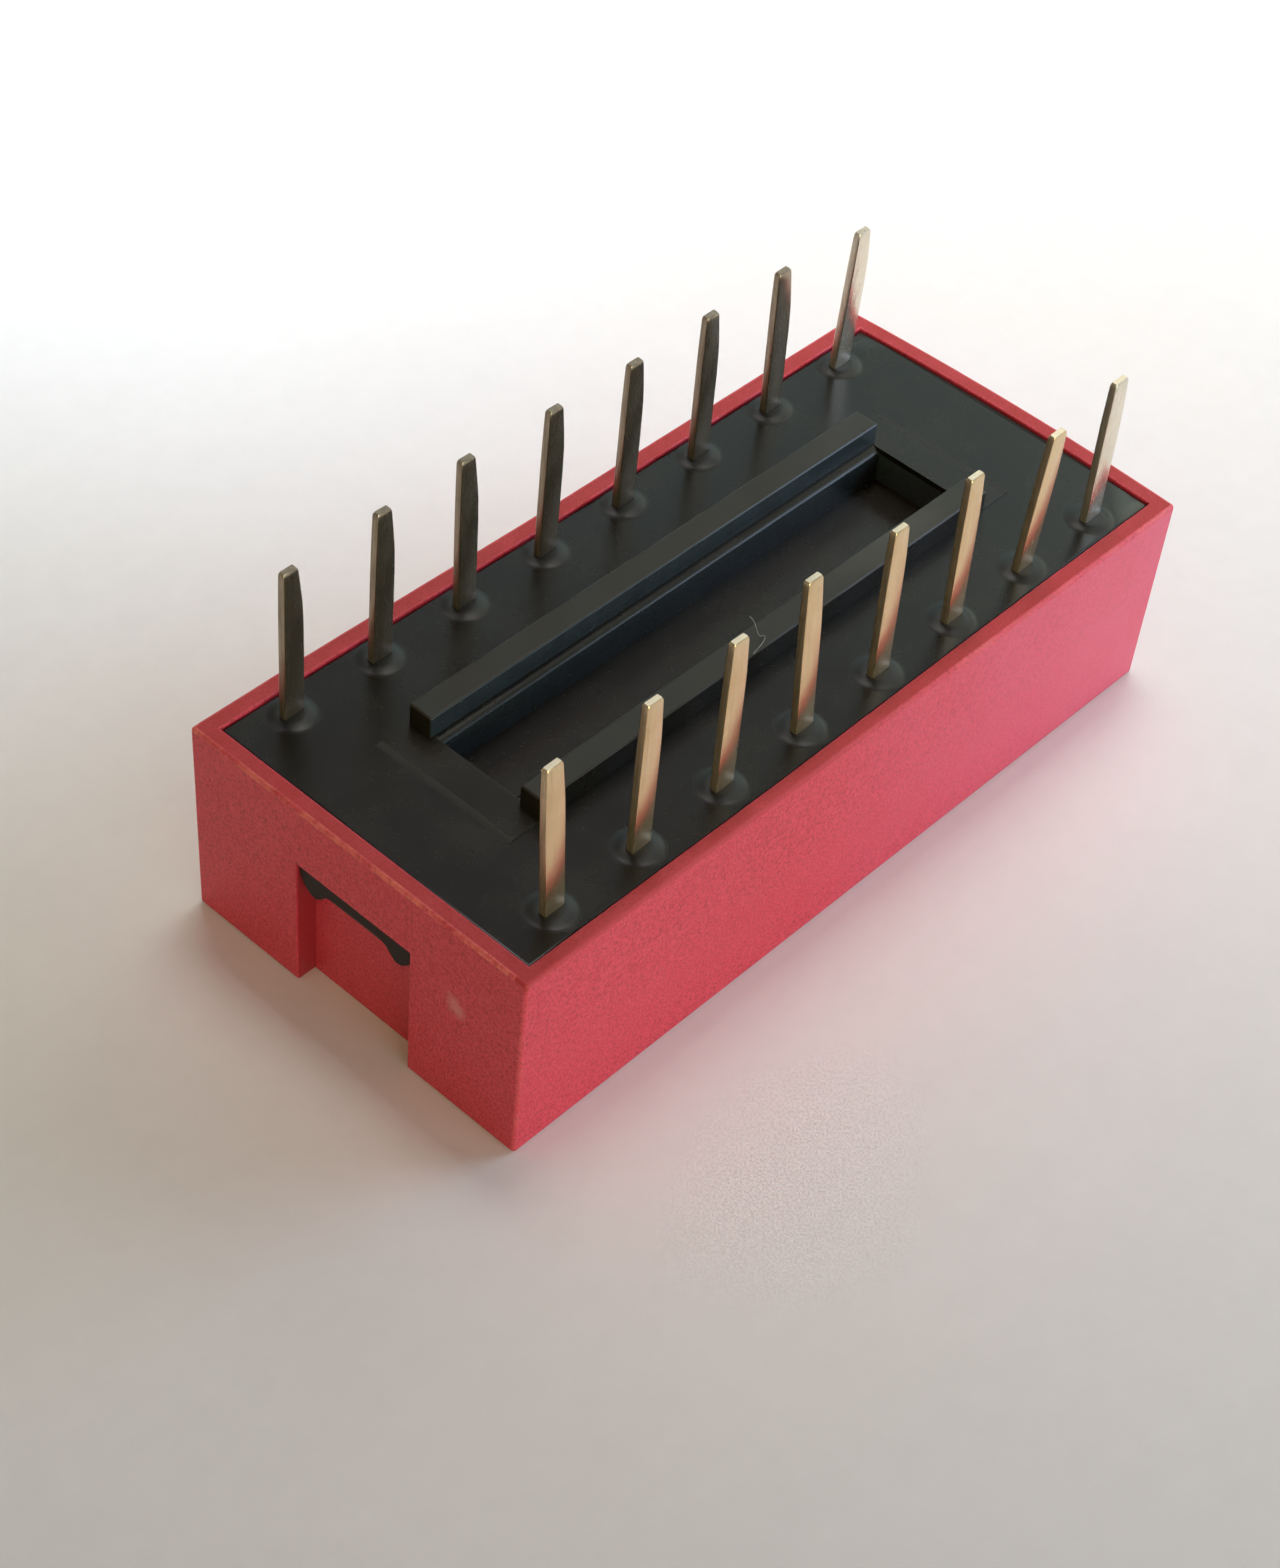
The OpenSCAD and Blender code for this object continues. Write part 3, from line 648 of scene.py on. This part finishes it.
def make_base():
    bm = bmesh.new()
    box(bm, (-BASE_HL, -BASE_HW, INNER), (BASE_HL, BASE_HW, BASE_Z))
    o = obj(bm, "base_block")
    bm = bmesh.new()
    v = [bm.verts.new((sx * (PLAT_HL + g), sy * (RIDGE_OUT - 0.02 + h), z)) for z, g, h in
         ((BASE_Z - 0.5, 0.08, 0.0), (BASE_Z + 0.001, 0.08, 0.0), (PLAT_Z, -0.08, 0.0)) for sx, sy in ((-1, -1), (1, -1), (1, 1), (-1, 1))]
    for a in (0, 4):
        for k in range(4):
            bm.faces.new((v[a + k], v[a + (k + 1) % 4], v[a + 4 + (k + 1) % 4], v[a + 4 + k]))
    bm.faces.new((v[3], v[2], v[1], v[0]))
    bm.faces.new(v[8:12])
    boolean(o, bm, "UNION")
    bm = bmesh.new()
    for s in (-1, 1):
        a, b = sorted((s * RIDGE_IN, s * RIDGE_OUT))
        box(bm, (-RIDGE_HL, a, BASE_Z - 0.4), (RIDGE_HL, b, RIDGE_Z))
    es = [e for e in bm.edges if any(v.co.z > RIDGE_Z - 1e-3 for v in e.verts)]
    n1 = len(es)
    bmesh.ops.bevel(bm, geom=es, offset=0.06, offset_type="OFFSET", segments=3, profile=0.5,
                    affect="EDGES", clamp_overlap=True)
    boolean(o, bm, "UNION")
    # recess whose long edges slope and round over into it
    half = [(REC_HW, REC_Z), (REC_HW, 5.195), (REC_HW + 0.012, 5.225), (REC_HW + 0.04, 5.248), (1.16, 5.288), (1.28, 5.330), (1.28, 7.0)]
    bm = bmesh.new()
    prism_x(bm, half + [(-y, z) for y, z in reversed(half)], -REC_HL, REC_HL)
    boolean(o, bm, "DIFFERENCE")
    bm = bmesh.new()
    for s in (-1, 1):
        a, b = sorted((s * (BASE_HL - 0.2), s * TOOTH_X))
        prism_x(bm, TOOTH, a, b)
    boolean(o, bm, "UNION")
    tidy(o)
    e = 1e-3
    on = lambda v, w: abs(v - w) < e
    n2 = bevel(o, 0.035, lambda a, b: on(a.z, PLAT_Z) and on(b.z, PLAT_Z) and on(abs(a.x), REC_HL) and on(abs(b.x), REC_HL), 2)
    n3 = bevel(o, 0.025, lambda a, b: on(a.z, PLAT_Z) and on(b.z, PLAT_Z) and
               on(abs(a.y), RIDGE_OUT - 0.02) and on(abs(b.y), RIDGE_OUT - 0.02) and max(abs(a.x), abs(b.x)) > RIDGE_HL + 0.2, 3)
    n4 = bevel(o, 0.05, lambda a, b: on(a.z, BASE_Z) and on(b.z, BASE_Z) and
               ((on(abs(a.x), BASE_HL) and on(abs(b.x), BASE_HL)) or (on(abs(a.y), BASE_HW) and on(abs(b.y), BASE_HW))), 2)
    n5 = bevel(o, 0.04, lambda a, b: on(abs(a.x), TOOTH_X) and on(abs(b.x), TOOTH_X), 2, angle=50)
    # the mound each pin comes out of
    bm = bmesh.new()
    prof = [(0.61, BASE_Z - 0.02)]
    for k in range(13):
        q = k / 12
        prof.append((0.60 - 0.33 * q, BASE_Z + 0.001 + 0.059 * 0.5 * (1 - math.cos(math.pi * q))))
    prof.append((0, BASE_Z + 0.06))
    for i in range(N):
        for s in (-1, 1):
            lathe(bm, px(i), s * PINY, prof, 48)
    boolean(o, bm, "UNION")
    # room for the terminals
    c = 0.004
    bm = bmesh.new()
    for i in range(N):
        for s in (-1, 1):
            box(bm, (px(i) - 0.275 - c, s * PINY - 0.10 - c, INNER + 0.1), (px(i) + 0.275 + c, s * PINY + 0.10 + c, EXIT + 1))
    boolean(o, bm, "DIFFERENCE")
    c = 0.012
    bm = bmesh.new()
    for i in range(N):
        for s in (-1, 1):
            a, b = sorted((s * (1.30 if s < 0 else 0.30) - s * c, s * (PINY + 0.10 + c)))
            box(bm, (px(i) - 0.55 - c, a, INNER - 1), (px(i) + 0.55 + c, b, INNER + 0.20 + c))
    boolean(o, bm, "DIFFERENCE")
    close(o, 3e-4)
    thin(o)
    bulge(o, BASE_HL - 0.06, 4.6)
    return done(o, ROOT, [M_BLACK], ["base"]), (n1, n2, n3, n4, n5)


# ---------------------------------------------------------------- terminals
FRONT_BEND = [(-0.14, 0.11), (0.02, 0), (0.04, 0.03), (0, 0.23), (-0.02, 0.02), (-0.04, 0.02), (-0.11, -0.29), (-0.14, -0.08)]
BACK_BEND = [(-0.05, -0.05), (0.07, 0.01), (-0.01, 0.05), (0.03, -0.03), (-0.05, -0.09), (-0.07, -0.05), (-0.16, -0.05), (-0.14, -0.26)]
TIP = 9.47


def section(w, t, r=0.028, k=3):
    """Rounded rectangle, w along u and t along v."""
    out = []
    for cx, cy, a0 in ((w / 2 - r, t / 2 - r, 0), (-w / 2 + r, t / 2 - r, 90), (-w / 2 + r, -t / 2 + r, 180), (w / 2 - r, -t / 2 + r, 270)):
        for j in range(k + 1):
            a = math.radians(a0 + 90 * j / k)
            out.append((cx + r * math.cos(a), cy + r * math.sin(a)))
    return out


def sweep(bm, rings, edge=(), cap=0):
    """rings: (centre, u axis, v axis, outline). Closed at both ends. edge: outline steps that take slot 1."""
    made = []
    for c, u, v, pts in rings:
        made.append([bm.verts.new(Vector(c) + Vector(u) * a + Vector(v) * b) for a, b in pts])
    n = len(made[0])
    for p, q in zip(made, made[1:]):
        for k in range(n):
            f = bm.faces.new((p[k], p[(k + 1) % n], q[(k + 1) % n], q[k]))
            f.material_index = 1 if k in edge else 0
    for f in (bm.faces.new(list(reversed(made[0]))), bm.faces.new(made[-1])):
        f.material_index = cap


def make_terminal(i, s, bend, name, node):
    """Contact arm inside the base, a right-angle bend and the pin."""
    bm = bmesh.new()
    x = px(i)
    T, PW, AW = 0.20, 0.55, 1.10
    zc = INNER + T / 2
    y0 = 1.30 if s < 0 else 0.30
    U = Vector((1, 0, 0))
    rings = []
    flat = lambda y, w: rings.append(((x, s * y, zc), U, Vector((0, 0, 1)), section(w, T)))
    flat(y0 + 0.0, AW - 0.06)
    flat(y0 + 0.03, AW)
    flat(3.12, AW)
    flat(3.17, AW - 0.03)
    flat(3.24, PW + 0.10)
    flat(3.30, PW + 0.02)
    flat(3.36, PW)
    R = 0.20
    for k in range(1, 7):
        a = math.radians(90 * k / 6)
        c = Vector((x, s * (PINY - R + R * math.sin(a)), zc + R - R * math.cos(a)))
        rings.append((c, U, Vector((0, -s * math.sin(a), math.cos(a))), section(PW, T)))
    V = Vector((0, -s, 0))
    rings.append(((x, s * PINY, EXIT - 0.25), U, V, section(PW, T)))
    # above the mound the pin follows its bend, eased over the first part
    h = TIP - EXIT
    bx, by = bend
    steps = [0.0, 0.06, 0.14, 0.25, 0.4, 0.55, 0.70, 0.76, 0.82, 0.88, 0.94, 0.978, 0.99, 1.0]
    base = Vector((x, s * PINY, EXIT))
    for q in steps:
        e = q if q > 0.12 else q * q / 0.24 + q * 0.5
        c = base + Vector((bx * e, by * e, h * q))
        d = Vector((bx, by, h)).normalized() if q > 0.05 else Vector((0, 0, 1))
        u = (U - d * U.dot(d)).normalized()
        v = d.cross(u) * (1 if s < 0 else -1)
        k = max(0.0, (q - 0.62) / 0.38)
        w = PW - (0.10 if s < 0 else 0.15) * k ** 1.3
        t = T - 0.02 * max(0.0, (q - 0.80) / 0.20)
        # the punch takes more off the +X side
        c = c - u * (PW - w) * (0.20 if s < 0 else 0.42)
        if q == 1.0:
            w, t = w - 0.06, t - 0.05
        elif q == 0.99:
            w, t = w - 0.018, t - 0.015
        rings.append((c, u, v, section(w, t, 0.022)))
    sweep(bm, rings, (7, 15), 2 if s < 0 else 1)
    o = obj(bm, name)
    return done(o, ROOT, [M_PIN_GLARE, M_SHEAR_GLARE, M_TIP_LIT] if i == N - 1 else [M_PIN, M_SHEAR, M_TIP_LIT] if s < 0 else [M_PIN_SHADED, M_SHEAR_SHADED, M_TIP_LIT], [node], sharp=35)


# ---------------------------------------------------------------- sliders and contacts
REST = 0.75
PLATE_Z, CLIP_Z = 1.00, 1.78


def make_slider(i):
    x, y = px(i), REST
    bm = bmesh.new()
    box(bm, (x - 0.75, y - 2.5, PLATE_Z), (x + 0.75, y + 2.5, CLIP_Z))
    o = obj(bm, "slider_body_%d" % (i + 1))
    bm = bmesh.new()
    box(bm, (x - 0.54, y - 0.75, 0.14), (x + 0.54, y + 0.75, PLATE_Z + 0.2))
    boolean(o, bm, "UNION")
    # shallow finger notch across the knob
    bm = bmesh.new()
    prism_x(bm, [(y - 0.34, 0.0), (y + 0.34, 0.0), (y + 0.22, 0.24), (y - 0.22, 0.24)], x - 1, x + 1)
    boolean(o, bm, "DIFFERENCE")
    tidy(o)
    bevel(o, 0.05, lambda a, b: a.z < 0.9 and b.z < 0.9, 3)
    bevel(o, 0.04, lambda a, b: max(abs(a.y - y), abs(b.y - y)) > 2.4, 2)
    bm = bmesh.new()
    lathe(bm, x, y, [(0.17, CLIP_Z - 0.05), (0.17, CLIP_Z + 0.13), (0.29, CLIP_Z + 0.14), (0.30, CLIP_Z + 0.17),
                     (0.25, CLIP_Z + 0.21), (0.14, CLIP_Z + 0.235), (0, CLIP_Z + 0.24)], 24)
    boolean(o, bm, "UNION")
    return done(o, "switch_%d" % (i + 1), [M_WHITE], ["slider_%d" % (i + 1)])


def make_contact(i):
    x, y = px(i), REST
    T, B = 0.12, 1.40
    top = INNER - 0.03
    z1, z2 = CLIP_Z + T / 2, top - T / 2
    half = [(0.0, z1), (0.36, z1), (0.45, z1 + 0.01), (0.54, z1 + 0.05), (0.80, z1 + 0.26), (1.05, z1 + 0.47), (B - 0.22, z2 - 0.09),
            (B - 0.10, z2 - 0.02), (B, z2), (B + 0.10, z2 - 0.02), (B + 0.20, z2 - 0.07), (B + 0.32, z2 - 0.17), (B + 0.42, z2 - 0.28)]
    path = [(-a, b) for a, b in reversed(half[1:])] + half
    bm = bmesh.new()
    rings = []
    for k, (a, z) in enumerate(path):
        p, q = path[max(0, k - 1)], path[min(len(path) - 1, k + 1)]
        d = Vector((0, q[0] - p[0], q[1] - p[1])).normalized()
        w = 0.90 if abs(a) < 0.6 else 0.90 - 0.22 * min(1.0, (abs(a) - 0.6) / 0.5)
        rings.append(((x, y + a, z), Vector((1, 0, 0)), Vector((0, -d.z, d.y)), section(w, T, 0.025, 2)))
    sweep(bm, rings)
    o = obj(bm, "contact_strip_%d" % (i + 1))
    bm = bmesh.new()
    lathe(bm, x, y, [(0.19, CLIP_Z - 0.5), (0.19, CLIP_Z + 0.5), (0, CLIP_Z + 0.5)], 24)
    boolean(o, bm, "DIFFERENCE")
    return done(o, "switch_%d" % (i + 1), [M_CONTACT], ["contact_%d" % (i + 1)])


# ---------------------------------------------------------------- marking on the actuator face
def make_mark(txt, x, y, size, name):
    """Raised ink, read from below with -Y up."""
    c = bpy.data.curves.new(name, "FONT")
    c.body, c.size = txt, size
    c.align_x, c.align_y = "CENTER", "CENTER"
    c.extrude, c.resolution_u = 0.010, 6
    t = bpy.data.objects.new(name + "_curve", c)
    bpy.context.scene.collection.objects.link(t)
    dg = bpy.context.evaluated_depsgraph_get()
    me = bpy.data.meshes.new_from_object(t.evaluated_get(dg))
    bpy.data.objects.remove(t)
    me.transform(Matrix.Translation((x, y, 0.0)) @ Matrix.Rotation(math.pi, 4, "X"))
    bm = bmesh.new()
    bm.from_mesh(me)
    bmesh.ops.remove_doubles(bm, verts=bm.verts, dist=1e-4)
    bmesh.ops.dissolve_degenerate(bm, dist=1e-3, edges=bm.edges[:])
    bmesh.ops.recalc_face_normals(bm, faces=bm.faces)
    bm.to_mesh(me)
    bm.free()
    o = bpy.data.objects.new(name, me)
    bpy.context.scene.collection.objects.link(o)
    return done(o, ROOT, [M_INK], sharp=30, weighted=False)


def make_hair():
    """A lint fibre caught on the edge of the front ridge."""
    pts = [Vector(p) for p in ((-0.80, -1.95, 5.885), (-0.62, -1.92, 5.90), (-0.44, -1.88, 5.905), (-0.28, -1.82, 5.90), (-0.20, -1.74, 5.905),
                               (-0.30, -1.70, 5.93), (-0.30, -1.62, 5.99), (-0.24, -1.50, 6.07), (-0.22, -1.40, 6.15), (-0.26, -1.33, 6.22))]
    path = []
    for k in range(len(pts) - 1):
        a, b = pts[max(0, k - 1)], pts[min(len(pts) - 1, k + 2)]
        for j in range(5):
            u = j / 5
            m0, m1 = (pts[k + 1] - a) / 2, (b - pts[k]) / 2
            path.append((2 * u ** 3 - 3 * u ** 2 + 1) * pts[k] + (u ** 3 - 2 * u ** 2 + u) * m0 +
                        (3 * u ** 2 - 2 * u ** 3) * pts[k + 1] + (u ** 3 - u ** 2) * m1)
    path.append(pts[-1])
    bm = bmesh.new()
    rings = []
    for k, c in enumerate(path):
        d = (path[min(len(path) - 1, k + 1)] - path[max(0, k - 1)]).normalized()
        u = d.cross(Vector((0.3, 0.9, 0.1))).normalized()
        v = d.cross(u)
        r = 0.011 * (1 - 0.5 * k / len(path))
        rings.append((c, u, v, [(r * math.cos(math.pi * j / 3), r * math.sin(math.pi * j / 3)) for j in range(6)]))
    sweep(bm, rings)
    return done(obj(bm, "lint_hair"), ROOT, [M_FIBRE], sharp=0, weighted=False)


# ---------------------------------------------------------------- build
cover, nc = make_cover()
base, nb = make_base()
for i in range(N):
    make_terminal(i, -1, FRONT_BEND[i], "pin_front_%d" % (i + 1), "terminal_front_%d" % (i + 1))
    make_terminal(i, 1, BACK_BEND[i], "pin_back_%d" % (i + 1), "terminal_back_%d" % (i + 1))
    make_slider(i)
    make_contact(i)
    make_mark(str(i + 1), px(i), 3.05, 1.55, "mark_%d" % (i + 1))
make_mark("ON", -8.35, -3.05, 1.55, "mark_on")
make_hair()

# ---------------------------------------------------------------- stage
bm = bmesh.new()
s = 0.6
vs = [bm.verts.new(p) for p in ((-s, -s, -0.000013), (s, -s, -0.000013), (s, s, -0.000013), (-s, s, -0.000013))]
bm.faces.new(vs)
floor = obj(bm, "floor_sheet")
floor.data.materials.append(M_PAPER)

world = bpy.data.worlds.new("studio")
bpy.context.scene.world = world
world.use_nodes = True
bg = next(n for n in world.node_tree.nodes if n.type == "BACKGROUND")
bg.inputs["Color"].default_value = (1.000, 0.890, 0.832, 1.0)
bg.inputs["Strength"].default_value = 0.0962


def area(name, pos, target, size, power, col=(1, 1, 1)):
    d = bpy.data.lights.new(name, "AREA")
    d.shape, d.size, d.size_y = "RECTANGLE", size[0], size[1]
    d.energy, d.color = power, col
    o = bpy.data.objects.new(name, d)
    o.location = pos
    o.rotation_mode = "QUATERNION"
    o.rotation_quaternion = (Vector(target) - Vector(pos)).to_track_quat("-Z", "Y")
    o.visible_camera = False
    bpy.context.scene.collection.objects.link(o)
    return o


def at(az, el, dist):
    """A point seen from the part: az from +X towards +Y, both in degrees."""
    a, e = math.radians(az), math.radians(el)
    return (dist * math.cos(e) * math.cos(a), dist * math.cos(e) * math.sin(a), dist * math.sin(e))


area("k25_50", at(-25, 50, 0.30), (0, 0, 0), (0.15, 0.15), 0.0209, (0.79, 1.00, 0.71))
area("ahead", at(39, 45, 0.50), (0, 0, 0), (0.5, 0.5), 0.1197, (1.00, 0.67, 0.67))
area("ahead_low", at(39, 20, 0.50), (0, 0, 0), (0.4, 0.4), 0.3111, (0.61, 1.00, 0.97))
area("low_front", at(-95, 12, 0.40), (0, 0, 0), (0.4, 0.12), 0.7033, (0.90, 1.00, 0.97))
area("front_fill", at(-100, 35, 0.40), (0, 0, 0), (0.4, 0.4), 0.04923, (1.00, 0.30, 0.20))
area("left_fill", at(160, 40, 0.40), (0, 0, 0), (0.4, 0.4), 0.1384, (1.00, 0.69, 0.29))
g = area("grid_box", (0.040, 0.035, 0.11), (0.040, 0.035, 0), (0.07, 0.07), 0.02241, (1.00, 0.99, 0.94))
g.data.spread = math.radians(60)
g = area("grid_left", (0.004, 0.027, 0.045), (0.004, 0.027, 0), (0.02, 0.02), 0.0008844, (0.66, 0.83, 1.00))
g.data.spread = math.radians(50)
area("top_warm", at(-141, 70, 0.5), (0, 0, 0), (0.3, 0.3), 0.07027, (1.00, 0.26, 0.17))
area("k10_35", at(10, 35, 0.30), (0, 0, 0), (0.12, 0.12), 0.06889, (0.95, 1.00, 0.80))
area("low_right", at(-25, 10, 1.00), (0, 0, 0), (0.75, 0.25), 3.984, (0.56, 0.71, 1.00))
area("low_behind", at(-141, 15, 0.50), (0, 0, 0), (0.4, 0.12), 0.389, (0.89, 1.00, 0.41))
area("near_right", (0.045, -0.030, 0.035), (0, -0.005, 0.003), (0.03, 0.03), 0.008954, (0.63, 0.77, 1.00))

# ---------------------------------------------------------------- camera, from the photograph's own perspective
cam = bpy.data.cameras.new("camera")
cam.sensor_fit = "AUTO"
cam.sensor_width = 36.0
cam.lens = 3155.772 * 36.0 / 1568.0
cam.clip_start, cam.clip_end = 0.001, 5.0
co = bpy.data.objects.new("camera", cam)
bpy.context.scene.collection.objects.link(co)
rv = Vector((2.22807, -0.92814, 0.47213))
R = Matrix.Rotation(rv.length, 3, rv.normalized())
right, down, ahead = R[0], R[1], R[2]
M = Matrix((right, -down, -ahead)).transposed().to_4x4()
eye = -(R.transposed() @ Vector((1.1376, -0.0852, 73.3225)))
M.translation = eye * 0.001
co.matrix_world = M
bpy.context.scene.camera = co
bpy.context.scene.view_settings.view_transform = "Standard"
